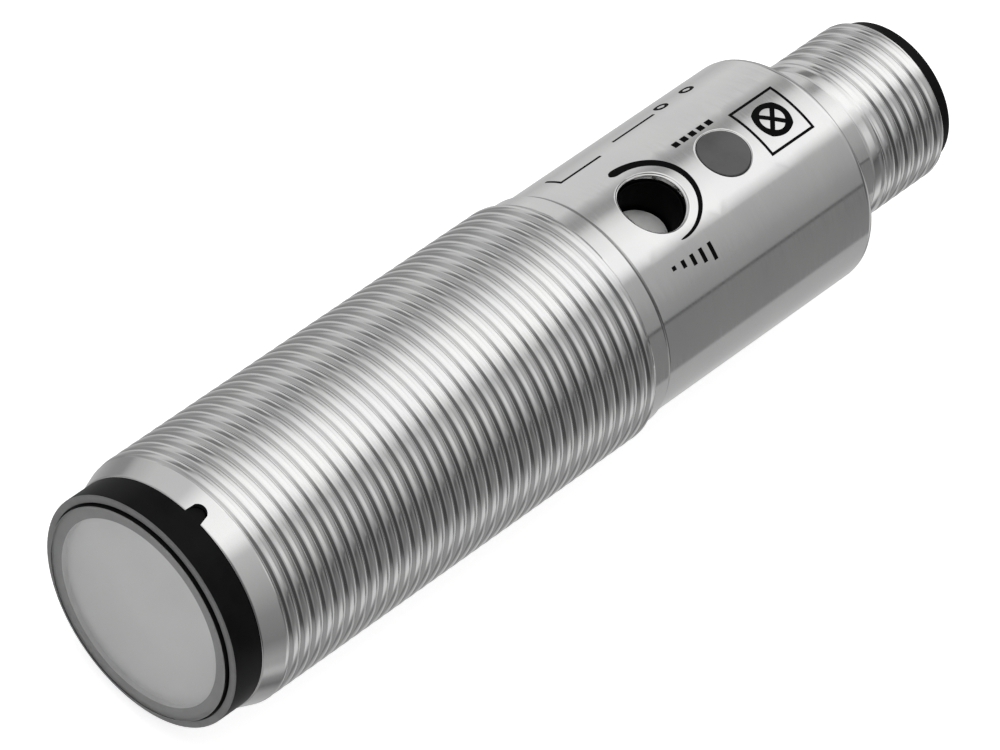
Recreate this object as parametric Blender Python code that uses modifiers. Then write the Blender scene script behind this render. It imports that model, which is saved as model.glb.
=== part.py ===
"""Tubular photoelectric sensor: threaded barrel, optics behind a front window, trimmer and M12 plug.

The sensor's axis is +Y, from the front window at y = 0 to the plug. +Z points to the trimmer.
Dimensions are millimetres, turned into metres by MM where a mesh or a place is made.
"""
import math

import bmesh
import bpy

MM = 0.001

# Seat clearance between neighbouring pieces
GAP = 0.3

# How far a cutting shape runs past the face it opens, and a joined one into its piece
OVERRUN = 1.0
ROOT = 0.5

# Barrel: M18 threaded length and the smaller smooth rear body
THREAD_RADIUS = 8.95
REAR_RADIUS = 8.4
BARREL_FRONT = 2.65
BARREL_FRONT_RADIUS = 8.35
THREAD_START = 4.3
THREAD_END = 38.2
SHOULDER_RADIUS = 8.6
SHOULDER_END = 39.9
SHOULDER_EASE = 0.1
BARREL_END = 60.5
REAR_EDGE_ROUND = 0.5
BORE_RADIUS = 7.3
REAR_WALL = 1.5
REAR_OPENING_RADIUS = 6.3

# Trimmer and indicator on the rear body
TRIMMER_Y = 44.8
TRIMMER_HOLE_RADIUS = 2.4
INDICATOR_Y = 51.6
INDICATOR_HOLE_RADIUS = 1.875

# Key that keeps the front ring from turning in the barrel
KEY_WIDTH = 0.9
KEY_END = 3.35
KEY_FLOOR = 7.55
KEY_TOP = 8.2

# Front ring, window and filter
BEZEL_FRONT = 0.3
BEZEL_RADIUS = 8.31
BEZEL_EDGE = 0.15
WINDOW_RADIUS = 7.5
WINDOW_DEPTH = 1.3
WINDOW_EDGE = 0.12
FILTER_RADIUS = 6.25
FILTER_DEPTH = 0.5
SPIGOT_END = 6.0
SPIGOT_BORE = 6.0

# Optics
CARRIER_BACK = 14.0
CHANNEL_X = 3.0
CHANNEL_RADIUS = 1.9
LENS_RADIUS = 2.0
LENS_FRONT = 3.2
LENS_BACK = 4.9
LENS_RIM = 0.6
DIODE_RADIUS = 1.5
EMITTER_LENGTH = 4.3
RECEIVER_LENGTH = 3.2

# Circuit boards and what is on them
BOARD_THICKNESS = 1.0
BOARD_TOP = 2.4
BOARD_HALF_WIDTH = 6.5
OPTIC_BOARD_RADIUS = 6.9
REAR_BOARD_RADIUS = 6.8
REAR_BOARD_FRONT = 54.9
CHIP_SIZE = (5.0, 5.0, 1.2)
CHIP_Y = 26.0
TRANSISTOR_SIZE = (1.5, 3.0, 1.1)
TRANSISTOR_X = 3.5
TRANSISTOR_Y = 36.0
INDICATOR_LED_SIZE = (1.25, 2.0, 0.8)

# Trimmer
TRIMMER_SIDE = 6.0
TRIMMER_TOP = 4.0
TRIMMER_CORNER = 0.3
ROTOR_HEAD_RADIUS = 1.95
ROTOR_HEAD_TOP = 4.9
ROTOR_SHAFT_RADIUS = 0.9
ROTOR_SHAFT_END = 3.3
SLOT_WIDTH = 0.55
SLOT_DEPTH = 0.35
SLEEVE_RADIUS = 2.8
SLEEVE_TOP = 6.4

# Light guide of the indicator
GUIDE_STEM_RADIUS = 1.3
GUIDE_FLANGE_RADIUS = 2.4
GUIDE_FLANGE = (5.5, 6.5)
GUIDE_TOP = 8.3

# M12 plug
PLUG_RADIUS = 5.98
PLUG_END = 70.2
PLUG_CHAMFER = 0.5
PLUG_BORE = 4.95
PLUG_FLANGE_RADIUS = 7.0
PLUG_FLANGE_FRONT = 57.0
INSERT_RADIUS = 4.65
INSERT_FRONT = 58.0
INSERT_FLOOR = 62.0
INSERT_BORE = 4.2
COLLAR_RADIUS = 5.3
COLLAR_END = 71.75
COLLAR_CHAMFER = 0.25
CODING_RIB_WIDTH = 1.2
CODING_RIB_INNER = 3.6
CODING_RIB_SETBACK = 1.0
PIN_CIRCLE_RADIUS = 2.5
PIN_RADIUS = 0.5
PIN_END = 70.6

# Facets round a full turn
FINE_STEPS = 90
MEDIUM_STEPS = 48
SMALL_STEPS = 24
ARC_POINTS = 5
SHARP_ANGLE = math.radians(35)


def new_collection(name):
    collection = bpy.data.collections.new(name)
    bpy.context.scene.collection.children.link(collection)
    return collection


def clear_scene():
    for obj in list(bpy.data.objects):
        bpy.data.objects.remove(obj, do_unlink=True)


def material(name, colour, roughness, metallic=0.0, alpha=1.0):
    mat = bpy.data.materials.new(name)
    mat.use_nodes = True
    shader = mat.node_tree.nodes["Principled BSDF"]
    shader.inputs["Base Color"].default_value = (*colour, 1.0)
    shader.inputs["Roughness"].default_value = roughness
    shader.inputs["Metallic"].default_value = metallic
    shader.inputs["Alpha"].default_value = alpha
    return mat


def empty(name, y=0.0, along_y=False):
    """Frame for child pieces, with its own Z along the sensor's axis if along_y is set."""
    obj = bpy.data.objects.new(name, None)
    obj.location = (0.0, y * MM, 0.0)
    if along_y:
        obj.rotation_euler = (-math.pi / 2, 0.0, 0.0)
    PARTS.objects.link(obj)
    return obj


def arc(centre, radius, start_deg, end_deg, count):
    """Points on a circle in the (radius, height) plane, angles measured from the radius axis."""
    points = []
    for i in range(count + 1):
        angle = math.radians(start_deg + (end_deg - start_deg) * i / count)
        points.append((centre[0] + radius * math.cos(angle), centre[1] + radius * math.sin(angle)))
    return points


def add_object(name, mesh, parent, mat, collection):
    obj = bpy.data.objects.new(name, mesh)
    collection.objects.link(obj)
    obj.parent = parent
    if mat:
        mesh.materials.clear()
        mesh.materials.append(mat)
    return obj


def turned_mesh(name, profile, steps, closed):
    """Mesh of a profile of (radius, height) points, running down its outer side, turned round Z."""
    outline = bpy.data.meshes.new(name)
    points = [(r * MM, 0.0, h * MM) for r, h in profile]
    edges = [(i, i + 1) for i in range(len(points) - 1)]
    if closed:
        edges.append((len(points) - 1, 0))
    outline.from_pydata(points, edges, [])
    lathe = bpy.data.objects.new(name, outline)
    bpy.context.scene.collection.objects.link(lathe)
    screw = lathe.modifiers.new("Turn", "SCREW")
    screw.steps = steps
    screw.render_steps = steps
    screw.use_merge_vertices = True
    screw.merge_threshold = 0.00001
    depsgraph = bpy.context.evaluated_depsgraph_get()
    mesh = bpy.data.meshes.new_from_object(lathe.evaluated_get(depsgraph))
    bpy.data.objects.remove(lathe, do_unlink=True)
    bpy.data.meshes.remove(outline)
    mesh.shade_smooth()
    mesh.set_sharp_from_angle(angle=SHARP_ANGLE)
    return mesh


def turned(name, profile, steps, mat, parent, closed=False):
    return add_object(name, turned_mesh(name, profile, steps, closed), parent, mat, PARTS)


def box_mesh(name, low, high):
    mesh = bpy.data.meshes.new(name)
    shape = bmesh.new()
    bmesh.ops.create_cube(shape, size=1.0)
    for vert in shape.verts:
        for k in range(3):
            vert.co[k] = (low[k] if vert.co[k] < 0 else high[k]) * MM
    shape.to_mesh(mesh)
    shape.free()
    return mesh


def box(name, low, high, mat, parent=None):
    return add_object(name, box_mesh(name, low, high), parent, mat, PARTS)


def rod_mesh(name, radius, low, high, steps):
    return turned_mesh(name, [(0, high), (radius, high), (radius, low), (0, low)], steps, False)


def as_cutter(name, mesh, parent=None, location=(0, 0, 0)):
    obj = add_object(name, mesh, parent, None, CUTTERS)
    obj.location = [c * MM for c in location]
    obj.hide_render = True
    obj.display_type = "WIRE"
    return obj


def combine(obj, other, operation):
    boolean = obj.modifiers.new(other.name, "BOOLEAN")
    boolean.operation = operation
    boolean.object = other
    boolean.solver = "EXACT"


def cut(obj, cutter):
    combine(obj, cutter, "DIFFERENCE")


def join(obj, addition):
    combine(obj, addition, "UNION")


def build_barrel(axis):
    """Tube with the thread's full diameter in front, the smooth body behind and a rear wall."""
    round_centre = (REAR_RADIUS - REAR_EDGE_ROUND, BARREL_END - REAR_EDGE_ROUND)
    profile = [(REAR_OPENING_RADIUS, BARREL_END)]
    profile += arc(round_centre, REAR_EDGE_ROUND, 90, 0, ARC_POINTS)
    profile += [
        (REAR_RADIUS, SHOULDER_END),
        (SHOULDER_RADIUS, SHOULDER_END - SHOULDER_EASE),
        (THREAD_RADIUS - SHOULDER_EASE, THREAD_END + SHOULDER_EASE),
        (THREAD_RADIUS, THREAD_END),
        (THREAD_RADIUS, THREAD_START),
        (BARREL_FRONT_RADIUS, BARREL_FRONT),
        (BORE_RADIUS, BARREL_FRONT),
        (BORE_RADIUS, BARREL_END - REAR_WALL),
        (REAR_OPENING_RADIUS, BARREL_END - REAR_WALL),
    ]
    barrel = turned("housing_barrel", profile, FINE_STEPS, NICKEL, axis, closed=True)

    hole_depth = (BORE_RADIUS - 2 * OVERRUN, THREAD_RADIUS + OVERRUN)
    trimmer_hole = rod_mesh("trimmer_hole", TRIMMER_HOLE_RADIUS, *hole_depth, MEDIUM_STEPS)
    cut(barrel, as_cutter("trimmer_hole", trimmer_hole, location=(0, TRIMMER_Y, 0)))
    indicator_hole = rod_mesh("indicator_hole", INDICATOR_HOLE_RADIUS, *hole_depth, MEDIUM_STEPS)
    cut(barrel, as_cutter("indicator_hole", indicator_hole, location=(0, INDICATOR_Y, 0)))

    half_notch = KEY_WIDTH / 2 + GAP
    nose_centre = KEY_END - KEY_WIDTH / 2
    notch_round = rod_mesh("key_notch_round", half_notch, *hole_depth, SMALL_STEPS)
    cut(barrel, as_cutter("key_notch_round", notch_round, location=(0, nose_centre, 0)))
    notch = box_mesh("key_notch", (-half_notch, BARREL_FRONT - OVERRUN, hole_depth[0]),
                     (half_notch, nose_centre, hole_depth[1]))
    cut(barrel, as_cutter("key_notch", notch))


def build_bezel(axis):
    """Plastic ring with a seat for window and filter, a spigot into the barrel and a key."""
    seat_radius = WINDOW_RADIUS + GAP
    seat_back = WINDOW_DEPTH + GAP
    filter_seat = FILTER_RADIUS + GAP
    filter_back = seat_back + FILTER_DEPTH + GAP
    flange_back = BARREL_FRONT - GAP
    profile = [
        (SPIGOT_BORE, SPIGOT_END),
        (BORE_RADIUS - GAP, SPIGOT_END),
        (BORE_RADIUS - GAP, flange_back),
        (BEZEL_RADIUS, flange_back),
        (BEZEL_RADIUS, BEZEL_FRONT + BEZEL_EDGE),
        (BEZEL_RADIUS - BEZEL_EDGE, BEZEL_FRONT),
        (seat_radius, BEZEL_FRONT),
        (seat_radius, seat_back),
        (filter_seat, seat_back),
        (filter_seat, filter_back),
        (SPIGOT_BORE, filter_back),
    ]
    bezel = turned("front_bezel", profile, FINE_STEPS, BLACK_PLASTIC, axis, closed=True)
    half = KEY_WIDTH / 2
    round_centre = KEY_END - half
    bar = box_mesh("key_bar", (-half, flange_back - ROOT, KEY_FLOOR), (half, round_centre, KEY_TOP))
    join(bezel, as_cutter("key_bar", bar))
    nose = rod_mesh("key_nose", half, KEY_FLOOR, KEY_TOP, SMALL_STEPS)
    join(bezel, as_cutter("key_nose", nose, location=(0, round_centre, 0)))


def build_window(axis):
    window = [
        (0, WINDOW_DEPTH),
        (WINDOW_RADIUS, WINDOW_DEPTH),
        (WINDOW_RADIUS, WINDOW_EDGE),
        (WINDOW_RADIUS - WINDOW_EDGE, 0),
        (0, 0),
    ]
    turned("front_window", window, FINE_STEPS, CLEAR_PLASTIC, axis)
    front = WINDOW_DEPTH + GAP
    back = front + FILTER_DEPTH
    disc = [(0, back), (FILTER_RADIUS, back), (FILTER_RADIUS, front), (0, front)]
    turned("filter_disc", disc, FINE_STEPS, GREY_FILTER, axis)


def build_lens(name, x, axis):
    """Plano-convex lens, flat to the front, with a cylindrical rim."""
    height = LENS_BACK - LENS_FRONT - LENS_RIM
    dome_radius = (LENS_RADIUS ** 2 + height ** 2) / (2 * height)
    edge_angle = math.degrees(math.asin(LENS_RADIUS / dome_radius))
    dome = arc((0, LENS_BACK - dome_radius), dome_radius, 90, 90 - edge_angle, ARC_POINTS)
    profile = dome + [(LENS_RADIUS, LENS_FRONT), (0, LENS_FRONT)]
    lens = turned(name, profile, MEDIUM_STEPS, CLEAR_PLASTIC, axis)
    lens.location.x = x * MM


def build_diode(name, x, length, mat, axis):
    """Round-nosed diode body whose base meets the optics board."""
    nose = CARRIER_BACK - length + DIODE_RADIUS
    dome = arc((0, nose), DIODE_RADIUS, 0, -90, ARC_POINTS)
    profile = [(0, CARRIER_BACK), (DIODE_RADIUS, CARRIER_BACK)] + dome
    diode = turned(name, profile, SMALL_STEPS, mat, axis)
    diode.location.x = x * MM


def build_optics(axis):
    front = WINDOW_DEPTH + 2 * GAP + FILTER_DEPTH
    step = SPIGOT_END + GAP
    body_radius = BORE_RADIUS - GAP
    profile = [
        (0, CARRIER_BACK),
        (body_radius, CARRIER_BACK),
        (body_radius, step),
        (SPIGOT_BORE - GAP, step),
        (SPIGOT_BORE - GAP, front),
        (0, front),
    ]
    carrier = turned("optic_carrier", profile, MEDIUM_STEPS, BLACK_PLASTIC, axis)
    lens_seat_back = LENS_BACK + GAP
    for side, x in (("emitter", -CHANNEL_X), ("receiver", CHANNEL_X)):
        seat = rod_mesh(side + "_seat", LENS_RADIUS + GAP, front - OVERRUN, lens_seat_back, MEDIUM_STEPS)
        cut(carrier, as_cutter(side + "_seat", seat, axis, (x, 0, 0)))
        channel = rod_mesh(side + "_channel", CHANNEL_RADIUS, lens_seat_back - ROOT, CARRIER_BACK + OVERRUN,
                           MEDIUM_STEPS)
        cut(carrier, as_cutter(side + "_channel", channel, axis, (x, 0, 0)))
        build_lens(side + "_lens", x, axis)
    build_diode("emitter_led", -CHANNEL_X, EMITTER_LENGTH, CLEAR_PLASTIC, axis)
    build_diode("receiver_diode", CHANNEL_X, RECEIVER_LENGTH, BLACK_PLASTIC, axis)


def build_boards(axis):
    optic_front = CARRIER_BACK + GAP
    optic_back = optic_front + BOARD_THICKNESS
    for name, radius, front in (("optic_board", OPTIC_BOARD_RADIUS, optic_front),
                                ("rear_board", REAR_BOARD_RADIUS, REAR_BOARD_FRONT)):
        back = front + BOARD_THICKNESS
        turned(name, [(0, back), (radius, back), (radius, front), (0, front)], MEDIUM_STEPS, BOARD, axis)
    box("main_board", (-BOARD_HALF_WIDTH, optic_back + GAP, BOARD_TOP - BOARD_THICKNESS),
        (BOARD_HALF_WIDTH, REAR_BOARD_FRONT - GAP, BOARD_TOP), BOARD)
    for name, x, y, size, mat in (("control_chip", 0, CHIP_Y, CHIP_SIZE, BLACK_PLASTIC),
                                  ("output_transistor", TRANSISTOR_X, TRANSISTOR_Y, TRANSISTOR_SIZE,
                                   BLACK_PLASTIC),
                                  ("indicator_led", 0, INDICATOR_Y, INDICATOR_LED_SIZE, CLEAR_PLASTIC)):
        base = BOARD_TOP + GAP
        low = (x - size[0] / 2, y - size[1] / 2, base)
        high = (x + size[0] / 2, y + size[1] / 2, base + size[2])
        box(name, low, high, mat)


def build_trimmer():
    """Trimmer on the board, its slotted rotor on the hole's axis, and a dark sleeve round the rotor."""
    pivot = empty("trimmer_axis", TRIMMER_Y)
    half = TRIMMER_SIDE / 2
    low = (-half, -half, BOARD_TOP + GAP)
    body = box("trimmer_body", low, (half, half, TRIMMER_TOP), BLUE_PLASTIC, pivot)
    corners = body.modifiers.new("Corners", "BEVEL")
    corners.width = TRIMMER_CORNER * MM
    corners.segments = 2
    bore = rod_mesh("trimmer_bore", ROTOR_SHAFT_RADIUS + GAP, ROTOR_SHAFT_END - GAP, TRIMMER_TOP + OVERRUN,
                    SMALL_STEPS)
    cut(body, as_cutter("trimmer_bore", bore, pivot))

    head_base = TRIMMER_TOP + GAP
    profile = [
        (0, ROTOR_HEAD_TOP),
        (ROTOR_HEAD_RADIUS, ROTOR_HEAD_TOP),
        (ROTOR_HEAD_RADIUS, head_base),
        (ROTOR_SHAFT_RADIUS, head_base),
        (ROTOR_SHAFT_RADIUS, ROTOR_SHAFT_END),
        (0, ROTOR_SHAFT_END),
    ]
    rotor = turned("trimmer_rotor", profile, MEDIUM_STEPS, NICKEL, pivot)
    reach = ROTOR_HEAD_RADIUS + OVERRUN
    slot = box_mesh("rotor_slot", (-reach, -SLOT_WIDTH / 2, ROTOR_HEAD_TOP - SLOT_DEPTH),
                    (reach, SLOT_WIDTH / 2, ROTOR_HEAD_TOP + OVERRUN))
    cut(rotor, as_cutter("rotor_slot", slot, pivot))

    sleeve_bore = ROTOR_HEAD_RADIUS + GAP
    sleeve = [
        (sleeve_bore, SLEEVE_TOP),
        (SLEEVE_RADIUS, SLEEVE_TOP),
        (SLEEVE_RADIUS, head_base),
        (sleeve_bore, head_base),
    ]
    turned("trimmer_sleeve", sleeve, MEDIUM_STEPS, BLACK_PLASTIC, pivot, closed=True)


def build_indicator():
    """Light guide held from inside by its flange, with its face level with the rear body."""
    seat = empty("indicator_axis", INDICATOR_Y)
    head_radius = INDICATOR_HOLE_RADIUS - GAP
    stem_end = BOARD_TOP + INDICATOR_LED_SIZE[2] + 2 * GAP
    profile = [
        (0, GUIDE_TOP),
        (head_radius, GUIDE_TOP),
        (head_radius, GUIDE_FLANGE[1]),
        (GUIDE_FLANGE_RADIUS, GUIDE_FLANGE[1]),
        (GUIDE_FLANGE_RADIUS, GUIDE_FLANGE[0]),
        (GUIDE_STEM_RADIUS, GUIDE_FLANGE[0]),
        (GUIDE_STEM_RADIUS, stem_end),
        (0, stem_end),
    ]
    turned("indicator_window", profile, MEDIUM_STEPS, GREY_FILTER, seat)


def build_plug(axis):
    """M12 plug: metal sleeve held behind the rear wall, keyed pin carrier and four pins."""
    flange_back = BARREL_END - REAR_WALL - GAP
    sleeve = [
        (PLUG_BORE, PLUG_END),
        (PLUG_RADIUS - PLUG_CHAMFER, PLUG_END),
        (PLUG_RADIUS, PLUG_END - PLUG_CHAMFER),
        (PLUG_RADIUS, flange_back),
        (PLUG_FLANGE_RADIUS, flange_back),
        (PLUG_FLANGE_RADIUS, PLUG_FLANGE_FRONT),
        (PLUG_BORE, PLUG_FLANGE_FRONT),
    ]
    turned("connector_shell", sleeve, FINE_STEPS, NICKEL, axis, closed=True)

    collar_front = PLUG_END + GAP
    carrier = [
        (0, INSERT_FLOOR),
        (INSERT_BORE, INSERT_FLOOR),
        (INSERT_BORE, COLLAR_END),
        (COLLAR_RADIUS - COLLAR_CHAMFER, COLLAR_END),
        (COLLAR_RADIUS, COLLAR_END - COLLAR_CHAMFER),
        (COLLAR_RADIUS, collar_front),
        (INSERT_RADIUS, collar_front),
        (INSERT_RADIUS, INSERT_FRONT),
        (0, INSERT_FRONT),
    ]
    insert = turned("connector_insert", carrier, MEDIUM_STEPS, BLACK_PLASTIC, axis)
    rib_half = CODING_RIB_WIDTH / 2
    wall_middle = (INSERT_BORE + INSERT_RADIUS) / 2
    rib = box_mesh("coding_rib", (-rib_half, INSERT_FLOOR - ROOT, CODING_RIB_INNER),
                   (rib_half, COLLAR_END - CODING_RIB_SETBACK, wall_middle))
    join(insert, as_cutter("coding_rib", rib))

    pin_front = REAR_BOARD_FRONT + BOARD_THICKNESS + GAP
    nose = arc((0, PIN_END - PIN_RADIUS), PIN_RADIUS, 90, 0, ARC_POINTS)
    pin_profile = nose + [(PIN_RADIUS, pin_front), (0, pin_front)]
    hole = rod_mesh("pin_hole", PIN_RADIUS + GAP, INSERT_FRONT - OVERRUN, INSERT_FLOOR + OVERRUN, SMALL_STEPS)
    for i in range(4):
        angle = math.radians(45 + 90 * i)
        place = (PIN_CIRCLE_RADIUS * math.cos(angle), PIN_CIRCLE_RADIUS * math.sin(angle), 0)
        cut(insert, as_cutter("pin_hole_%d" % (i + 1), hole, axis, place))
        pin = turned("contact_pin_%d" % (i + 1), pin_profile, SMALL_STEPS, GOLD, axis)
        pin.location = [c * MM for c in place]


clear_scene()
PARTS = new_collection("photoelectric_sensor")
CUTTERS = new_collection("cutters")

NICKEL = material("nickel_plated_brass", (0.72, 0.72, 0.71), 0.25, 1.0)
BLACK_PLASTIC = material("black_plastic", (0.02, 0.02, 0.02), 0.45)
CLEAR_PLASTIC = material("clear_plastic", (0.8, 0.8, 0.8), 0.05, alpha=0.35)
GREY_FILTER = material("grey_filter", (0.4, 0.4, 0.4), 0.3)
BOARD = material("circuit_board", (0.05, 0.2, 0.1), 0.5)
BLUE_PLASTIC = material("blue_plastic", (0.05, 0.12, 0.35), 0.4)
GOLD = material("gold_plated_brass", (0.8, 0.62, 0.3), 0.25, 1.0)

SENSOR_AXIS = empty("sensor_axis", along_y=True)
build_barrel(SENSOR_AXIS)
build_bezel(SENSOR_AXIS)
build_window(SENSOR_AXIS)
build_optics(SENSOR_AXIS)
build_boards(SENSOR_AXIS)
build_trimmer()
build_indicator()
build_plug(SENSOR_AXIS)
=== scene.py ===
"""Looks of a tubular photoelectric sensor: nickel-plated barrel, front window, trimmer and M12 plug.

The sensor's axis is +Y, from the front window at y = 0 to the plug, and +Z points to the trimmer.
Sizes are millimetres in the classes below, and MM turns them into metres where a mesh is made.
"""
import logging
import math
from dataclasses import dataclass, field
from enum import Enum
from functools import cached_property
from typing import Any, Callable, Sequence

import bmesh
import bpy
import numpy as np
from mathutils import Matrix, Vector


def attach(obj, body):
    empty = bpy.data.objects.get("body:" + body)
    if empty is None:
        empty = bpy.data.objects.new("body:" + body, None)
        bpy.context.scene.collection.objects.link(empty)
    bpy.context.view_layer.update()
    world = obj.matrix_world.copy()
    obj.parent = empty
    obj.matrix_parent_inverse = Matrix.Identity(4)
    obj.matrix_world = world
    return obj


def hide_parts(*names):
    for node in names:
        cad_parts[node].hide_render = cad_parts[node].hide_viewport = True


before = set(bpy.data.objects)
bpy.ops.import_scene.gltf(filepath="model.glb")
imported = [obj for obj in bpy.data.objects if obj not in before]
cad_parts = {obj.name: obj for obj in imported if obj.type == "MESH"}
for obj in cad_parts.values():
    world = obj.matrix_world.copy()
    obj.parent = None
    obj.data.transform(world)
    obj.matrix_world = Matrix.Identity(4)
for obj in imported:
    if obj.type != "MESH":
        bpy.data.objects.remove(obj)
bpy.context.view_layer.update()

LOG = logging.getLogger("sensor")
MM = 0.001

# Distance under which two points of a mesh are one, and the angle past which an edge is drawn sharp
WELD = 0.0004
SHARP_ANGLE = math.radians(38)

# Room that a test of where a point or a face lies leaves on each side
SLACK = 0.01

# Points on a rounded corner, and how far outside it a point holds the shading of the face beside it
ARC_POINTS = 5
HOLD = 0.04

# Roundings of a crisp edge and of a soft one
CRISP = 0.05
SOFT = 0.1

# Two numbers that belong together, such as a place, the ends of a span, or a place and its brightness
Pair = tuple[float, float]

# Blender's types of a node tree, a node and a socket
Tree = bpy.types.NodeTree
Node = bpy.types.Node
Socket = bpy.types.NodeSocket


class Axis(Enum):
    """Axis that a turned piece is turned round."""

    ALONG = "along the sensor, +Y"
    UP = "out of the barrel towards the trimmer, +Z"


class Body(Enum):
    """Moving bodies of the sensor, by the names of its frame."""

    SENSOR = "sensor"
    ADJUSTER = "adjuster"


class Slot(Enum):
    """Material slots of the record."""

    NICKEL = "nickel"
    BLACK = "black_plastic"
    CLEAR = "clear_plastic"
    FILTER = "grey_filter"
    BOARD = "circuit_board"
    BLUE = "blue_plastic"
    GOLD = "gold"


def linear(code: str) -> tuple[float, float, float, float]:
    """Linear colour of an sRGB hex code, whose curve is straight up to 0.04045 and a power of 2.4 above.

    Args:
        code: six hex digits after a hash.

    Returns:
        Red, green, blue and an opaque alpha.
    """
    values = np.array([int(code[i:i + 2], 16) for i in (1, 3, 5)]) / 255
    low = values / 12.92
    high = ((values + 0.055) / 1.055) ** 2.4
    return (*np.where(values <= 0.04045, low, high).tolist(), 1.0)


def add_node(tree: Tree, kind: str, inputs: dict[Any, Any] | None = None,
             stops: Sequence[tuple[float, Any]] = (), **settings: Any) -> Node:
    """Adds a node with its settings, its input values and its links.

    Args:
        tree: node tree that takes the node.
        kind: the node's type without its ShaderNode prefix.
        inputs: for each socket's name or number, a value or the socket that is linked to it.
        stops: positions and colours of a colour ramp.
        settings: attributes of the node.

    Returns:
        The new node.
    """
    node = tree.nodes.new("ShaderNode" + kind)
    for name, value in settings.items():
        setattr(node, name, value)
    for key, value in (inputs or {}).items():
        if isinstance(value, Socket):
            tree.links.new(value, node.inputs[key])
        else:
            node.inputs[key].default_value = value
    for index, (position, colour) in enumerate(stops):
        elements = node.color_ramp.elements
        element = elements[index] if index < len(elements) else elements.new(position)
        element.position = position
        element.color = colour
    return node


def grey(value: float) -> tuple[float, float, float, float]:
    """Neutral colour of a linear value."""
    return (value, value, value, 1.0)


def per_metre(size: float) -> float:
    """Texture scale at which one noise cell is size millimetres wide."""
    return 1 / (size * MM)


@dataclass
class Bench:
    """A material in the making: its node tree, its Principled shader and its object coordinates."""

    tree: Tree
    shader: Node
    place: Socket

    def link(self, value: Socket, name: str) -> None:
        """Leads a value into one of the shader's inputs."""
        self.tree.links.new(value, self.shader.inputs[name])


@dataclass(frozen=True)
class Finish:
    """A moulded or printed surface, with mottling and a fine relief.

    The colour drifts a little between two shades, the gloss varies in soft patches, and a grain of the
    given width stands out of the surface by the given height. Widths and heights are millimetres. The ends
    are the values of a noise between which it takes colour and gloss from one side to the other.
    """

    name: str
    colour: str
    second: str
    roughness: float
    metallic: float = 0.0
    ior: float = 1.5
    patch: float = 1.2
    detail: float = 4.0
    shade_ends: Pair = (0.35, 0.65)
    gloss_ends: Pair = (0.3, 0.7)
    spread: float = 0.08
    grain: float = 0.25
    grain_detail: float = 3.0
    relief: float = 0.004
    transmission: float = 0.0
    specular: float = 0.5

    @cached_property
    def material(self) -> bpy.types.Material:
        """Material of the finish, made when it is first asked for.

        Returns:
            The material.
        """
        mat = bpy.data.materials.new(self.name)
        mat.use_nodes = True
        tree = mat.node_tree
        shader = tree.nodes["Principled BSDF"]
        shader.inputs["Metallic"].default_value = self.metallic
        shader.inputs["Transmission Weight"].default_value = self.transmission
        shader.inputs["Specular IOR Level"].default_value = self.specular
        if not self.metallic:
            shader.inputs["IOR"].default_value = self.ior
        self.texture(Bench(tree, shader, add_node(tree, "TexCoord").outputs["Object"]))
        return mat

    def shade(self, bench: Bench, value: Socket) -> None:
        """Takes the colour from the first shade to the second as a value goes between the shade's ends."""
        stops = list(zip(self.shade_ends, (linear(self.colour), linear(self.second))))
        bench.link(add_node(bench.tree, "ValToRGB", {"Fac": value}, stops).outputs["Color"], "Base Color")

    def mottle(self, bench: Bench) -> Socket:
        """Mottles the colour with a soft noise.

        Args:
            bench: the material in the making.

        Returns:
            The noise.
        """
        noise = add_node(bench.tree, "TexNoise", {"Vector": bench.place, "Scale": per_metre(self.patch),
                                                  "Detail": self.detail}).outputs["Fac"]
        self.shade(bench, noise)
        return noise

    def gloss_from(self, bench: Bench, noise: Socket, reach: float) -> None:
        """Varies the roughness along a noise, by reach to both sides."""
        gloss = add_node(bench.tree, "MapRange", {
            "Value": noise, "From Min": self.gloss_ends[0], "From Max": self.gloss_ends[1],
            "To Min": self.roughness - reach, "To Max": self.roughness + reach})
        bench.link(gloss.outputs["Result"], "Roughness")

    def relief_from(self, bench: Bench, height: Socket) -> None:
        """Raises the surface by the finish's relief where height is 1."""
        bump = add_node(bench.tree, "Bump", {"Height": height, "Strength": 1.0, "Distance": self.relief * MM})
        bench.link(bump.outputs["Normal"], "Normal")

    def texture(self, bench: Bench) -> None:
        """Gives the surface its soft patches and its grain.

        Args:
            bench: the material in the making.
        """
        self.gloss_from(bench, self.mottle(bench), self.roughness * self.spread)
        grain = add_node(bench.tree, "TexNoise", {"Vector": bench.place, "Scale": per_metre(self.grain),
                                                  "Detail": self.grain_detail})
        self.relief_from(bench, grain.outputs["Fac"])


@dataclass(frozen=True)
class TurnedPlate(Finish):
    """A turned surface, bare or plated: faint rings left by the tool run round the axis.

    The rings follow y, drawn wider apart than real ones so that they still show in the render, wander a
    little, and change the gloss as well as the relief.
    """

    detail: float = 5.0
    ring: float = 0.16
    ring_gloss: float = 0.03
    ring_wander: float = 0.08
    ring_detail: float = 2.0

    def texture(self, bench: Bench) -> None:
        """Gives the surface its mottling and its rings.

        Args:
            bench: the material in the making.
        """
        self.mottle(bench)
        drawn = add_node(bench.tree, "Mapping", {"Vector": bench.place,
                                                 "Scale": (self.ring_wander, 1.0, self.ring_wander)})
        rings = add_node(bench.tree, "TexNoise", {"Vector": drawn.outputs["Vector"],
                                                  "Scale": per_metre(self.ring),
                                                  "Detail": self.ring_detail}).outputs["Fac"]
        self.gloss_from(bench, rings, self.ring_gloss)
        self.relief_from(bench, rings)


@dataclass(frozen=True)
class ClearPane(Finish):
    """Clear moulded plastic: see-through, with two glossy faces and a hardly visible unevenness."""

    def texture(self, bench: Bench) -> None:
        """Gives the surface its soft patches, without a grain."""
        self.gloss_from(bench, self.mottle(bench), self.roughness * self.spread)


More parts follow.
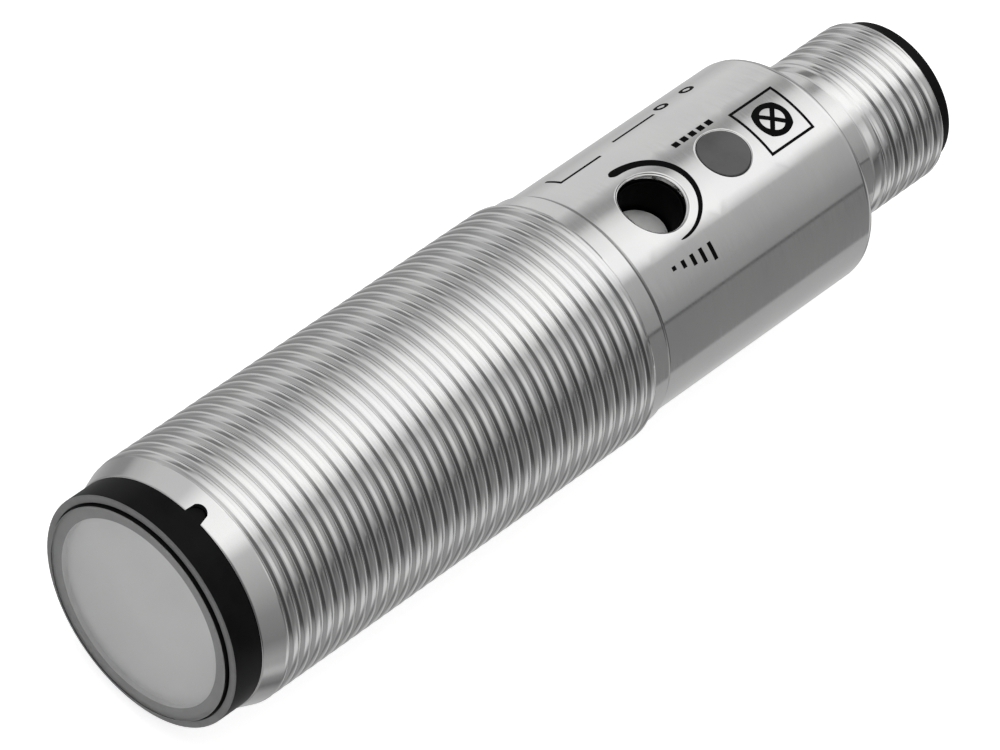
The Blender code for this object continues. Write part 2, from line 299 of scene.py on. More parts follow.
@dataclass(frozen=True)
class EtchedBoard(Finish):
    """Glass-fibre board under solder lacquer: copper tracks show as raised lines in a darker shade."""

    shade_ends: Pair = (0.42, 0.5)
    track: float = 0.9

    def texture(self, bench: Bench) -> None:
        """Gives the board its raised tracks.

        Args:
            bench: the material in the making.
        """
        cells = add_node(bench.tree, "TexVoronoi", {"Vector": bench.place, "Scale": per_metre(self.track)},
                         distance="MANHATTAN", feature="F1").outputs["Distance"]
        self.shade(bench, cells)
        bench.shader.inputs["Roughness"].default_value = self.roughness
        self.relief_from(bench, cells)


# Brass tube, turned and then nickel plated: neutral and bright, with soft-edged reflections
NICKEL = TurnedPlate("turned_brass_nickel_plated", "#d2d2d1", "#cecece", 0.1, 1.0, patch=4.0, relief=0.0006)
# Polyamide, moulded in a lightly eroded tool: deep black with a satin sheen
BLACK = Finish("moulded_black_polyamide", "#0c0c0d", "#111112", 0.4, ior=1.53, grain=0.2, relief=0.002,
               specular=0.05)
# Painted reflection: the ring's faced front coloured a matt mid grey, lighter than the black ring, for the
# white floor that it reflects
RING_FACE_REFLECTION = TurnedPlate("ring_face_painted_reflection", "#666666", "#5e5e5e", 0.55, ior=1.53, patch=0.7,
                    relief=0.001)
# Nitrile seal, moulded: the deepest black, with hardly any gloss
SEAL = Finish("moulded_nitrile_rubber", "#030303", "#060606", 0.6, patch=0.5, grain=0.12, relief=0.003,
              specular=0.05)
# Painted shade: the edge of the pane's flange coloured matt black, so that it draws the dark line of the
# gap's shade round the pane
EDGE_SHADE = Finish("pane_edge_painted_shade", "#080808", "#0e0e0e", 0.6, patch=0.8, grain=0.15, relief=0.002,
                    specular=0.1)
# Grey ink under the pane's flange, printed as a border round the light's way: an even mid grey
BORDER = Finish("screen_printed_grey_ink", "#989898", "#939393", 0.55, patch=1.5, grain=0.15, relief=0.001)
# Acrylic pane, moulded in a polished tool: clear, with a bright reflection on both faces
PANE = ClearPane("moulded_clear_acrylic", "#fbfbfb", "#f6f6f6", 0.03, ior=1.49, patch=4.0, transmission=1.0)
# Film printed pale grey, bonded to the pane's back: even, matt and light
FILTER = Finish("printed_grey_film", "#e6e6e6", "#e2e2e2", 0.5, patch=4.0, grain=0.3, relief=0.001)
# Smoked acrylic of the indicator, moulded: dark grey and smooth
SMOKED = Finish("moulded_smoked_acrylic", "#505050", "#464646", 0.22, ior=1.49, patch=2.0, relief=0.001)
# Epoxy ink, pad printed: thin, black, slightly uneven
INK = Finish("pad_printed_black_ink", "#040404", "#080808", 0.55, patch=0.4, grain=0.12, relief=0.003,
             specular=0.04)
# Brass screw head of the trimmer, tumbled and nickel plated, matt; coloured near white, brighter than the
# barrel's nickel, as painted light that makes it the brightest thing in its hole
SCREW_PAINTED_LIGHT = TurnedPlate("screw_nickel_painted_light", "#fbfbfa", "#f6f6f5", 0.75, 1.0, patch=0.8, relief=0.0006)
# Painted shade on the floor of its slot: the screw's nickel coloured darker and duller, for the shade down in
# the slot
SLOT_SHADE = TurnedPlate("slot_floor_painted_shade", "#6e6e6d", "#626261", 0.5, 1.0, patch=0.4, relief=0.001)
# Polyester of the trimmer's case, moulded: a satin blue
BLUE = Finish("moulded_blue_polyester", "#23407a", "#1e386b", 0.4, patch=0.9, grain=0.18)
# Brass pins with a thin plating of gold: warm, with softer reflections than the barrel's
GOLD = TurnedPlate("turned_brass_gold_plated", "#e3bf6c", "#d8b25c", 0.2, 1.0, patch=0.8, ring=0.12,
                   relief=0.001)
# Circuit board, green lacquer over copper tracks: a raised two-tone pattern
BOARD = EtchedBoard("lacquered_circuit_board", "#1f5a38", "#123f26", 0.36, relief=0.02)
# Epoxy of the chips, moulded: dull charcoal
EPOXY = Finish("moulded_black_epoxy", "#1d1d1f", "#252527", 0.55, patch=0.6, grain=0.1, relief=0.004)
# Epoxy of lenses and diodes, cast: clear with a faint haze
CLEAR = ClearPane("cast_clear_epoxy", "#f2f4f4", "#e9eded", 0.06, ior=1.54, patch=1.0, transmission=0.9)


@dataclass
class Surface:
    """Points in millimetres and the four-cornered faces on them."""

    points: np.ndarray
    faces: np.ndarray


def grid(points: np.ndarray, wrap_rows: bool = False, wrap_columns: bool = False) -> Surface:
    """Surface over a grid of points: each face joins two neighbours of a row and of the next row.

    Args:
        points: array of rows, columns and three coordinates.
        wrap_rows: whether the last row joins the first.
        wrap_columns: whether the last column joins the first.

    Returns:
        The surface.
    """
    rows, columns = points.shape[:2]
    row = np.arange(rows if wrap_rows else rows - 1)[:, None]
    column = np.arange(columns if wrap_columns else columns - 1)[None, :]
    below = (row + 1) % rows
    beside = (column + 1) % columns
    corners = [row * columns + column, row * columns + beside,
               below * columns + beside, below * columns + column]
    faces = np.stack(corners, -1).reshape(-1, 4)
    return Surface(points.reshape(-1, 3), faces)


def joined(*surfaces: Surface) -> Surface:
    """One surface of several; points that coincide are welded when the piece is made.

    Args:
        surfaces: the surfaces in order.

    Returns:
        All their points and faces.
    """
    starts = np.cumsum([0] + [len(s.points) for s in surfaces[:-1]])
    faces = [s.faces + start for s, start in zip(surfaces, starts)]
    return Surface(np.concatenate([s.points for s in surfaces]), np.concatenate(faces))


def rounded(corners: Sequence[tuple[float, float, float]], closed: bool = True) -> np.ndarray:
    """Outline through corners, each rounded to an arc that is tangent to both its sides.

    An arc of radius r in a corner of half angle a starts r / tan(a) from the corner. A point HOLD further
    out on each side keeps the smooth shading on the arc.

    Args:
        corners: radius, height and rounding of each corner in order.
        closed: whether the last corner joins the first.

    Returns:
        Array of radius and height of each point.
    """
    spots = np.array([c[:2] for c in corners], float)
    points: list[np.ndarray] = []
    for i, (spot, rounding) in enumerate(zip(spots, (c[2] for c in corners))):
        if rounding == 0 or (not closed and i in (0, len(spots) - 1)):
            points.append(spot[None])
            continue
        before = spots[i - 1] - spot
        after = spots[(i + 1) % len(spots)] - spot
        lengths = np.linalg.norm(before), np.linalg.norm(after)
        before, after = before / lengths[0], after / lengths[1]
        half = math.acos(np.clip(before @ after, -1, 1)) / 2
        tangent = rounding / math.tan(half)
        middle = (before + after) / np.linalg.norm(before + after)
        centre = spot + middle * rounding / math.sin(half)
        sweep = math.pi - 2 * half
        turn = np.linspace(-sweep / 2, sweep / 2, ARC_POINTS)[:, None]
        side = after - middle * (after @ middle)
        side = side / np.linalg.norm(side)
        arc = centre + rounding * (-middle * np.cos(turn) + side * np.sin(turn))
        points += [(spot + before * (tangent + HOLD))[None], arc, (spot + after * (tangent + HOLD))[None]]
    return np.concatenate(points)


def place_round(radius: np.ndarray, height: np.ndarray, angle: np.ndarray, axis: Axis,
                along: float = 0.0) -> np.ndarray:
    """Points about an axis: radius * sin(angle) to the side, radius * cos(angle) out, height along it.

    Args:
        radius: distance from the axis.
        height: distance along the axis.
        angle: angle about it, from +Z towards +X, or from +Y towards +X.
        axis: which axis it is.
        along: y of an axis that points up.

    Returns:
        Array of points.
    """
    radius, height, angle = np.broadcast_arrays(radius, height, angle)
    side = radius * np.sin(angle)
    out = radius * np.cos(angle)
    if axis is Axis.ALONG:
        return np.stack([side, height, out], -1)
    return np.stack([side, along + out, height], -1)


def crowded(columns: int, crowding: float) -> np.ndarray:
    """Angles of a full turn from -pi, drawn together at 0: angle = even - crowding * sin(even)."""
    even = np.arange(columns) * 2 * math.pi / columns - math.pi
    return even - crowding * np.sin(even)


def turned(outline: np.ndarray, columns: int | np.ndarray, axis: Axis = Axis.ALONG, along: float = 0.0,
           closed: bool = True) -> Surface:
    """Outline of radius and height carried round an axis.

    Args:
        outline: points of radius and height.
        columns: number of even steps in a full turn, or the angles of the columns.
        axis: axis of the turn.
        along: y of an axis that points up.
        closed: whether the outline's end joins its start.

    Returns:
        The turned surface.
    """
    angle = np.arange(columns) * 2 * math.pi / columns if isinstance(columns, int) else columns
    points = place_round(outline[:, :1], outline[:, 1:], angle[None], axis, along)
    return grid(points, wrap_rows=closed, wrap_columns=True)


def bent_over(surface: Surface, height: float, radius: float) -> Surface:
    """Bends the part of a surface above a height over the barrel: z falls by radius - sqrt(radius^2 - x^2).

    Args:
        surface: a surface turned about an axis that points up.
        height: z above which it is bent.
        radius: the barrel's radius there.

    Returns:
        The same surface, bent.
    """
    points = surface.points
    high = points[:, 2] > height + SLACK
    points[high, 2] += np.sqrt(radius ** 2 - points[high, 0] ** 2) - radius
    return surface


def make_piece(name: str, surface: Surface, finish: Finish, replaces: Sequence[str] = (),
               body: Body = Body.SENSOR) -> bpy.types.Object:
    """Puts a surface into the scene as a piece that rides on a body.

    Points that coincide are welded, which also closes poles and seams, and the faces are turned outwards.

    Args:
        name: the piece's name.
        surface: its closed surface.
        finish: finish that it is dressed in.
        replaces: nodes of the frame that it stands for.
        body: body that it rides on.

    Returns:
        The new object.
    """
    mesh = bpy.data.meshes.new(name)
    mesh.from_pydata(surface.points * MM, [], surface.faces)
    shape = bmesh.new()
    shape.from_mesh(mesh)
    bmesh.ops.remove_doubles(shape, verts=shape.verts, dist=WELD * MM)
    bmesh.ops.recalc_face_normals(shape, faces=shape.faces)
    shape.to_mesh(mesh)
    open_edges = sum(not e.is_manifold for e in shape.edges)
    shape.free()
    mesh.shade_smooth()
    mesh.set_sharp_from_angle(angle=SHARP_ANGLE)
    mesh.materials.append(finish.material)
    piece = bpy.data.objects.new(name, mesh)
    bpy.context.scene.collection.objects.link(piece)
    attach(piece, body.value)
    if replaces:
        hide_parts(*replaces)
    LOG.info("%s: %d faces, %d open edges, %s", name, len(mesh.polygons), open_edges, finish.name)
    return piece


def face_middles(piece: bpy.types.Object) -> np.ndarray:
    """Where a piece's faces lie.

    Args:
        piece: the piece.

    Returns:
        Rows of x, y and z of the faces' middles, in millimetres.
    """
    middles = np.empty(len(piece.data.polygons) * 3)
    piece.data.polygons.foreach_get("center", middles)
    return middles.reshape(-1, 3).T / MM


def dress(piece: bpy.types.Object, more: Sequence[Finish], which: np.ndarray) -> None:
    """Gives some faces of a piece another finish.

    Args:
        piece: a piece that has its first finish.
        more: finishes that follow it.
        which: for each face 0 for the first finish, 1 for the next, and so on.
    """
    for finish in more:
        piece.data.materials.append(finish.material)
    piece.data.polygons.foreach_set("material_index", which.astype(np.int32))


def smooth_step(value: np.ndarray, low: float, high: float) -> np.ndarray:
    """Eases from 0 at low to 1 at high along a cubic with level ends."""
    share = np.clip((value - low) / (high - low), 0, 1)
    return share * share * (3 - 2 * share)


@dataclass
class Thread:
    """Right-hand screw thread with broad, slightly crowned crests and narrow grooves.

    The groove has its full depth between lead_in and lead_out and runs out towards start and end. The
    steps are the shares of crest, flank and root at which its outline has a point. Spare turns before the
    start make sure that every column reaches it.
    """

    major: float
    start: float
    end: float
    lead_in: float
    lead_out: float
    phase: float
    pitch: float = 1.0
    depth: float = 0.22
    crest: float = 0.7
    crown: float = 0.06
    root: float = 0.04
    crest_steps: tuple[float, ...] = (0, 0.36, 0.62, 0.82, 0.96)
    flank_steps: tuple[float, ...] = (0.1, 0.85)
    root_step: float = 0.1
    flank_limit: float = 0.97
    spare_turns: int = 2

    def groove(self) -> tuple[np.ndarray, np.ndarray]:
        """One pitch of the thread: a slightly crowned crest, then a groove with straight flanks.

        From the crest's middle the depth grows with the cube of the way to the crown at the crest's
        edge, and from there evenly to the root. The second half mirrors the first.

        Returns:
            Shares of the pitch, from one crest's middle to the next, and the depth at each.
        """
        edge, foot = self.crest / 2, 0.5 - self.root / 2
        on_crest = np.array(self.crest_steps) * edge
        on_flank = edge + np.array(self.flank_steps) * (foot - edge)
        half = np.concatenate([on_crest, on_flank, [foot + self.root * self.root_step]])
        crown = self.crown * np.minimum(half / edge, 1) ** 3
        flank = np.clip((half - edge) / (foot - edge), 0, self.flank_limit) * (self.depth - self.crown)
        depth = crown + flank
        share = np.concatenate([half, [0.5], 1 - half[:0:-1]])
        return share, np.concatenate([depth, [self.depth], depth[:0:-1]])

    def surface(self, angle: np.ndarray, envelope: Callable[[np.ndarray], np.ndarray]) -> Surface:
        """Threaded surface between start and end.

        Each row follows the helix y = y0 + pitch * angle / (2 pi), so a row that leaves the last column
        goes on one pitch further in the first. Its radius is the major one less the groove's depth, eased
        at both ends, and no more than the blank's. Rows outside start and end are drawn onto those two
        rings, where the groove has run out.

        Args:
            angle: angles of the columns, from +Z towards +X.
            envelope: outer radius of the blank at each y.

        Returns:
            The surface, open at both ends.
        """
        share, fall = self.groove()
        points = len(share)
        turns = math.ceil((self.end - self.start) / self.pitch) + self.spare_turns + 1
        row = np.arange(turns * points)
        first = math.floor(self.start - self.phase - self.spare_turns * self.pitch) + self.phase
        base = first + self.pitch * (row // points + share[row % points])
        turn = (angle - angle[0]) / (2 * math.pi)
        y = np.clip(base[:, None] + self.pitch * turn[None], self.start, self.end)
        ease = smooth_step(y, self.start, self.lead_in) * (1 - smooth_step(y, self.lead_out, self.end))
        radius = np.minimum(self.major - fall[row % points][:, None] * ease, envelope(y))
        sheet = grid(place_round(radius, y, angle[None], Axis.ALONG))
        columns = len(angle)
        above = row[:-1]
        last = above * columns + columns - 1
        onward = np.minimum(above + points, row[-1]) * columns
        onward_below = np.minimum(above + 1 + points, row[-1]) * columns
        seam = np.stack([last, onward, onward_below, last + columns], -1)
        return Surface(sheet.points, np.concatenate([sheet.faces, seam]))


@dataclass
class Barrel:
    """Brass tube with the M18 thread in front and the smooth rear body behind a shoulder.

    Steps are shares of a way at which the mesh has a row: from the front edge to the thread, and from a
    hole's rim out. The rim's shares tell how far each point of a hole's chamfer lies out from the hole and
    down it.
    """

    bore: float = 7.3
    front: float = 2.65
    front_radius: float = 8.35
    edge: float = 0.06
    edge_eased: float = 0.018
    cone_steps: tuple[float, ...] = (0.0, 0.03, 0.06, 0.12, 0.4, 0.7, 1.0)
    key_half: float = 0.66
    key_end: float = 3.58
    major: float = 8.95
    thread_start: float = 3.7
    crest_start: float = 4.3
    lead_in: float = 4.5
    lead_out: float = 38.0
    thread_end: float = 38.2
    cone_end: float = 38.5
    groove_end: float = 39.7
    thread_phase: float = 0.42
    shoulder_radius: float = 8.6
    shoulder_draft: float = 0.01
    shoulder_edge: float = 0.05
    shoulder_end: float = 39.9
    undercut: float = 8.08
    undercut_foot: float = 40.12
    undercut_end: float = 40.22
    rear_radius: float = 8.4
    front_rows: tuple[float, ...] = (40.21, 40.25, 40.8)
    tail_rows: tuple[float, ...] = (56.5, 58.0, 59.2)
    end: float = 60.5
    end_round: float = 0.55
    rear_opening: float = 6.05
    rear_wall: float = 1.5
    columns: int = 156
    crowding: float = 0.6
    rear_columns: int = 240
    rear_crowding: float = 0.35
    patch_half: float = 3.4
    patch_ends: tuple[float, float, float] = (41.4, 48.2, 55.0)
    patch_rows: int = 25
    patch_steps: tuple[float, ...] = (0, 0.04, 0.12, 0.25, 0.45, 0.7, 1.0)
    trimmer_y: float = 44.8
    trimmer_radius: float = 2.3
    trimmer_rim: float = 0.2
    indicator_y: float = 51.75
    indicator_radius: float = 1.875
    indicator_rim: float = 0.1
    rim_out: tuple[float, ...] = (0.95, 0.66, 0.56, 0.46, 0.1, 0.0)
    rim_down: tuple[float, ...] = (0.02, 0.24, 0.4, 0.42, 0.7, 0.84)
    angle: np.ndarray = field(init=False)

    def __post_init__(self) -> None:
        """Spreads the columns, closer together round the key."""
        self.angle = crowded(self.columns, self.crowding)

    def blank(self, y: np.ndarray) -> np.ndarray:
        """Radius of the tube before the thread is cut: lead-in cone, crest, run-out cone and shoulder.

        Args:
            y: places along the tube.

        Returns:
            The radius at each.
        """
        ends = (self.front, self.crest_start, self.thread_end, self.cone_end, self.shoulder_end)
        top = self.shoulder_radius + self.shoulder_draft
        return np.interp(y, ends, (self.front_radius, self.major, self.major, top, self.shoulder_radius))

    def notch(self, radius: float) -> np.ndarray:
        """Front edge of the tube in each column: straight, with a round-ended notch on top for the key.

        In the notch the edge is a circle's arc, y = centre + half * sqrt(1 - (x / half)^2).

        Args:
            radius: where the columns are measured across.

        Returns:
            The edge's y.
        """
        x = radius * np.sin(self.angle)
        centre = self.key_end - self.key_half
        inside = np.clip(1 - (x / self.key_half) ** 2, 0, None)
        cut = (np.abs(x) < self.key_half) & (np.cos(self.angle) > 0)
        return np.where(cut, centre + self.key_half * np.sqrt(inside), self.front)

    def front_piece(self) -> Surface:
        """Front of the tube: shoulder, bore, notched front edge and thread.

        Rows between the notched edge and the thread divide each column evenly, on the lead-in cone.

        Returns:
            The closed surface.
        """
        edge = self.notch(self.front_radius)
        y = edge + np.array(self.cone_steps)[:, None] * (self.thread_start - edge)
        radius = self.blank(y)
        radius[:2] -= np.array([[self.edge], [self.edge_eased]])
        outside = place_round(radius, y, self.angle[None], Axis.ALONG)
        inside = place_round(np.full_like(edge, self.bore), edge, self.angle, Axis.ALONG)
        back = np.array([[self.blank(np.array(self.groove_end)), self.groove_end],
                         [self.shoulder_radius, self.shoulder_end - self.shoulder_edge],
                         [self.shoulder_radius - self.shoulder_edge, self.shoulder_end],
                         [self.undercut, self.shoulder_end], [self.bore, self.shoulder_end]])
        shoulder = place_round(back[:, :1], back[:, 1:], self.angle[None], Axis.ALONG)
        tube = grid(np.concatenate([shoulder, inside[None], outside]), wrap_columns=True)
        thread = Thread(self.major, self.thread_start, self.groove_end, self.lead_in, self.lead_out,
                        self.thread_phase)
        return joined(tube, thread.surface(self.angle, self.blank))

    def hole_patch(self, y: float, hole: float, columns: np.ndarray, rows: np.ndarray,
                   radius: float) -> np.ndarray:
        """Part of the tube's wall round a drilled hole, as rings from the hole's rim to a rectangle.

        Each ring lies between the circle and the rectangle of grid points round it: point = rim + s *
        (rectangle - rim). All points lie on the cylinder, z = sqrt(radius^2 - x^2).

        Args:
            y: the hole's middle.
            hole: the hole's radius.
            columns: x of the rectangle's columns.
            rows: y of the rectangle's rows.
            radius: the cylinder's radius.

        Returns:
            Array of rings, points and coordinates, from the rim outwards.
        """
        right = np.stack([np.full(len(rows) - 1, columns[-1]), rows[:-1]], -1)
        top = np.stack([columns[:0:-1], np.full(len(columns) - 1, rows[-1])], -1)
        left = np.stack([np.full(len(rows) - 1, columns[0]), rows[:0:-1]], -1)
        bottom = np.stack([columns[:-1], np.full(len(columns) - 1, rows[0])], -1)
        outer = np.concatenate([right, top, left, bottom])
        turn = np.arctan2(outer[:, 1] - y, outer[:, 0])
        rim = np.stack([hole * np.cos(turn), y + hole * np.sin(turn)], -1)
        flat = rim + np.array(self.patch_steps)[:, None, None] * (outer - rim)
        return np.concatenate([flat, np.sqrt(radius ** 2 - flat[..., :1] ** 2)], -1)

    def drilled(self, y: float, hole: float, rim: float, rows: np.ndarray, angle: np.ndarray) -> Surface:
        """Part of the tube with a hole: inside wall, the hole's wall, its chamfer and the outside.

        Args:
            y: the hole's middle.
            hole: the hole's radius.
            rim: width of the chamfer.
            rows: y of the part's rows.
            angle: angles of its columns.

        Returns:
            The surface, open at the rectangle's edges.
        """
        outer = self.hole_patch(y, hole + rim, self.rear_radius * np.sin(angle), rows, self.rear_radius)
        inner = self.hole_patch(y, hole, self.bore * np.sin(angle), rows, self.bore)
        turn = np.arctan2(outer[0, :, 1] - y, outer[0, :, 0])
        ring = hole + rim * np.array(self.rim_out)[:, None]
        drop = rim * np.array(self.rim_down)[:, None]
        bent = np.stack([ring * np.cos(turn), y + ring * np.sin(turn), outer[0, :, 2] - drop], -1)
        hold = bent[-1:] - np.array([0, 0, HOLD])
        return grid(np.concatenate([inner[::-1], hold, bent[::-1], outer]), wrap_columns=True)

    def rear_piece(self) -> Surface:
        """Rear body: a tube with a groove in front, a rounded end, a rear wall and two drilled holes.

        Outer and inner wall are grids with a gap on top, which the parts with the holes fill.

        Returns:
            The closed surface.
        """
        angle = crowded(self.rear_columns, self.rear_crowding)
        first, middle, last = self.patch_ends
        rows = np.array([self.shoulder_end, self.undercut_foot, *self.front_rows,
                         *np.linspace(first, last, self.patch_rows), *self.tail_rows,
                         self.end - self.end_round - HOLD])
        inside = np.flatnonzero(np.abs(angle) <= math.asin(self.patch_half / self.rear_radius))
        low, high = int(inside[0]), int(inside[-1])
        groove = (self.undercut_foot, self.undercut_end), (self.undercut, self.rear_radius)
        parts = []
        for radius, back in ((self.rear_radius, rows[-1]), (self.bore, self.end - self.rear_wall)):
            wall = np.append(rows[:-1], back)
            depth = np.minimum(np.interp(wall, *groove), radius)
            tube = turned(np.stack([depth, wall], -1), angle, closed=False)
            row, column = np.divmod(tube.faces[:, 0], len(angle))
            over = (wall[row] > first - SLACK) & (wall[row + 1] < last + SLACK)
            gap = over & (column >= low) & (column < high)
            parts.append(Surface(tube.points, tube.faces[~gap]))
        holes = ((self.trimmer_y, self.trimmer_radius, self.trimmer_rim, first, middle),
                 (self.indicator_y, self.indicator_radius, self.indicator_rim, middle, last))
        for y, hole, rim, start, stop in holes:
            own = rows[(rows > start - SLACK) & (rows < stop + SLACK)]
            parts.append(self.drilled(y, hole, rim, own, angle[low:high + 1]))
        inner_end = self.end - self.rear_wall
        cap = rounded([(self.rear_radius, rows[-1], 0), (self.rear_radius, self.end, self.end_round),
                       (self.rear_opening, self.end, 0), (self.rear_opening, inner_end, 0),
                       (self.bore, inner_end, 0)], closed=False)
        face = np.array([[self.undercut, self.shoulder_end], [self.bore, self.shoulder_end]])
        return joined(*parts, turned(cap, angle, closed=False), turned(face, angle, closed=False))

    def build(self) -> None:
        """Makes both pieces of the tube."""
        make_piece("barrel_thread", self.front_piece(), NICKEL, ["housing_barrel"])
        make_piece("barrel_rear_body", self.rear_piece(), NICKEL, ["housing_barrel"])


@dataclass
class FrontEnd:
    """Black ring with its key, and the clear pane that stands a little proud of it.

    The key is narrower than its notch by the factor key_ease. Points of the ring's section behind
    key_front and outside key_foot belong to it.
    """

    barrel: Barrel
    front: float = 0.3
    radius: float = 8.31
    edge: float = 0.14
    seat: float = 7.78
    seat_edge: float = 0.03
    step: float = 0.42
    step_radius: float = 6.82
    seat_back: float = 1.6
    film_seat: float = 6.55
    film_back: float = 2.4
    spigot: float = 7.0
    spigot_bore: float = 6.0
    spigot_end: float = 6.0
    spigot_edge: float = 0.2
    play: float = 0.03
    key_ease: float = 1.05
    key_foot: float = 7.1
    key_front: float = 1.3
    pane_radius: float = 7.66
    pane_depth: float = 1.3
    pane_edge: float = 0.1
    flange: float = 0.38
    border: float = 6.77
    columns: int = 192

    def ring(self) -> Surface:
        """Ring turned from its section, whose back edge runs on into the barrel's notch as the key.

        Returns:
            The closed surface.
        """
        back = self.barrel.front - self.play
        section = rounded([
            (self.spigot_bore, self.spigot_end, SOFT), (self.spigot, self.spigot_end, self.spigot_edge),
            (self.spigot, back, 0), (self.barrel.bore + self.play, back, 0), (self.radius, back, CRISP),
            (self.radius, self.front, self.edge), (self.seat, self.front, self.seat_edge),
            (self.seat, self.step, 0), (self.step_radius, self.step, CRISP),
            (self.step_radius, self.seat_back, 0), (self.film_seat, self.seat_back, CRISP),
            (self.film_seat, self.film_back, CRISP), (self.spigot_bore, self.film_back, CRISP)])
        reach = self.barrel.notch(self.radius * self.key_ease) - self.barrel.front
        moves = (section[:, 1] > self.key_front) & (section[:, 0] > self.key_foot)
        height = section[:, 1:] + moves[:, None] * reach[None]
        return grid(place_round(section[:, :1], height, self.barrel.angle[None], Axis.ALONG), True, True)

    def pane(self) -> Surface:
        """Round pane with an eased front edge and a thin flange that lies on the ring's step.

        Returns:
            The closed surface.
        """
        section = rounded([
            (0, 0, 0), (self.pane_radius, 0, self.pane_edge), (self.pane_radius, self.flange, 0),
            (self.border, self.flange, 0), (self.border, self.pane_depth, self.pane_edge),
            (0, self.pane_depth, 0)], False)
        return turned(section, self.columns, closed=False)

    def build(self) -> None:
        """Makes ring and pane, paints the floor's reflection onto the ring's front and the gap's shade onto
        the pane's edge, and prints the pane's border and back.
        """
        ring = make_piece("front_ring", self.ring(), BLACK, ["front_bezel"])
        # Painted reflection: the faces of the ring's front take a lighter grey for the floor that they
        # reflect
        dress(ring, [RING_FACE_REFLECTION], face_middles(ring)[1] < self.front + self.edge / 2)
        pane = make_piece("front_pane", self.pane(), PANE, ["front_window"])
        x, y, z = face_middles(pane)
        # Painted shade: the pane's outer edge takes matt black for the gap's shade; the flange's back takes
        # the border ink, the rest of the back the film
        places = [np.hypot(x, z) > self.pane_radius - SLACK, y > self.flange + SLACK, y > self.flange - SLACK]
        dress(pane, [BORDER, EDGE_SHADE, FILTER], np.select(places, [2, 3, 1], 0))


@dataclass
class Trimmer:
    """Slotted rotor down in the hole, in a dark sleeve whose lip follows the body's curve."""

    y: float = 44.8
    head: float = 1.95
    top: float = 4.9
    base: float = 4.3
    shaft: float = 0.9
    shaft_top: float = 4.29
    shaft_end: float = 3.3
    slot_half: float = 0.28
    slot_depth: float = 0.35
    slot_lip: float = 0.05
    slot_lip_fall: float = 0.07
    rim_rows: int = 18
    rim_start: float = 0.16
    rim_inner: float = 0.4
    row_steps: tuple[float, ...] = (-1, -0.985, -0.95, -0.5, 0, 0.5, 0.95, 0.985, 1)
    row_falls: tuple[float, ...] = (0.06, 0.02, 0, 0, 0, 0, 0, 0.02, 0.06)
    sleeve_bore: float = 2.12
    sleeve_radius: float = 2.7
    sleeve_top: float = 6.65
    sleeve_edge: float = 0.15
    lip: float = 2.26
    lip_top: float = 7.74
    body_radius: float = 8.4
    columns: int = 96

    def rotor_head(self) -> Surface:
        """Disc with a slot across: rows of width 2 sqrt(head^2 - v^2), lower by the slot's depth near v = 0.

        Each row is a loop over its top and back under its base, so the disc is closed all round.

        Returns:
            The closed surface.
        """
        rim = self.head * np.sin(np.linspace(self.rim_start, 1, self.rim_rows) * math.pi / 2)
        wall = self.slot_half + np.array([-self.slot_lip, 0, self.slot_lip])
        half = np.concatenate([[0], wall, rim[rim > self.rim_inner]])
        across = np.concatenate([-half[:0:-1], half])
        fall = np.where(np.abs(across) < self.slot_half, self.slot_depth, 0.0)
        fall = np.where(np.isclose(np.abs(across), self.slot_half), self.slot_lip_fall, fall)
        width = np.sqrt(np.clip(self.head ** 2 - across ** 2, 0, None))
        top_x = np.array(self.row_steps)[None] * width[:, None]
        top_z = self.top - np.maximum(fall[:, None], np.array(self.row_falls)[None])
        loop_x = np.concatenate([top_x, top_x[:, ::-1]], 1)
        loop_z = np.concatenate([top_z, np.full_like(top_z, self.base)], 1)
        loop_y = np.broadcast_to(self.y + across[:, None], loop_x.shape)
        return grid(np.stack([loop_x, loop_y, loop_z], -1), wrap_columns=True)

    def build(self) -> None:
        """Makes rotor, shaft and sleeve, and paints shade onto the floor of the slot."""
        # Painted light: head and shaft take the near-white nickel, brighter than the light down in the hole
        # would make them
        head = make_piece("rotor_head", self.rotor_head(), SCREW_PAINTED_LIGHT, ["trimmer_rotor"],
                          Body.ADJUSTER)
        _, y, z = face_middles(head)
        # Painted shade: the faces of the slot's floor take the darker finish
        low = (z > self.base + SLACK) & (z < self.top - self.slot_depth + SLACK)
        dress(head, [SLOT_SHADE], low & (np.abs(y - self.y) < self.slot_half))
        shaft = rounded([(0, self.shaft_top, 0), (self.shaft, self.shaft_top, 0),
                         (self.shaft, self.shaft_end, SOFT), (0, self.shaft_end, 0)], False)
        make_piece("rotor_shaft", turned(shaft, self.columns, Axis.UP, self.y, False), SCREW_PAINTED_LIGHT,
                   ["trimmer_rotor"], Body.ADJUSTER)
        wall = rounded([
            (self.sleeve_bore, self.lip_top, CRISP), (self.lip, self.lip_top, CRISP),
            (self.lip, self.sleeve_top, 0), (self.sleeve_radius, self.sleeve_top, self.sleeve_edge),
            (self.sleeve_radius, self.base, SOFT), (self.sleeve_bore, self.base, CRISP)])
        sleeve = bent_over(turned(wall, self.columns, Axis.UP, self.y), self.sleeve_top, self.body_radius)
        make_piece("rotor_sleeve", sleeve, SEAL, ["trimmer_sleeve"])


